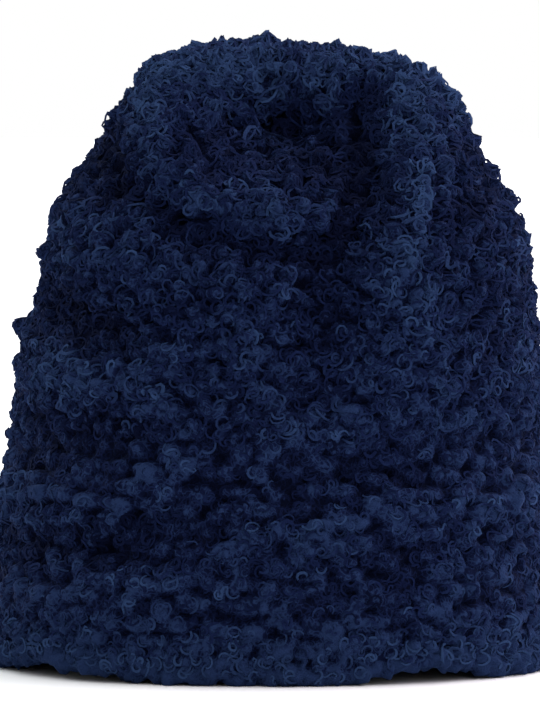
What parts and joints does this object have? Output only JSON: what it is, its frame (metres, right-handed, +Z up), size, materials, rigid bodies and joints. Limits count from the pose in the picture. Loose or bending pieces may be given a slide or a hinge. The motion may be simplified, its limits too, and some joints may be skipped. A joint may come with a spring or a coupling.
{
  "type": "beanie",
  "caption": "Thick hand-knitted navy boucle beanie with a gathered crown slumped forward and an open, slightly flared rim.",
  "frame": {"origin": "middle of the rim's footprint, on the plane that the rim rests on", "axes": "+Z up from the open rim to the crown, -Y towards the front, where the crown's gathered pit faces, +X towards the viewer's right when looking at the front"},
  "size_m": [0.2082, 0.1884, 0.2297],
  "materials": {
    "boucle_yarn": "deep navy curly boucle knit, matt and fuzzy with lit blue curls and near-black gaps"
  },
  "bodies": {
    "root": {"beanie_knit": "boucle_yarn"}
  },
  "joints": []
}
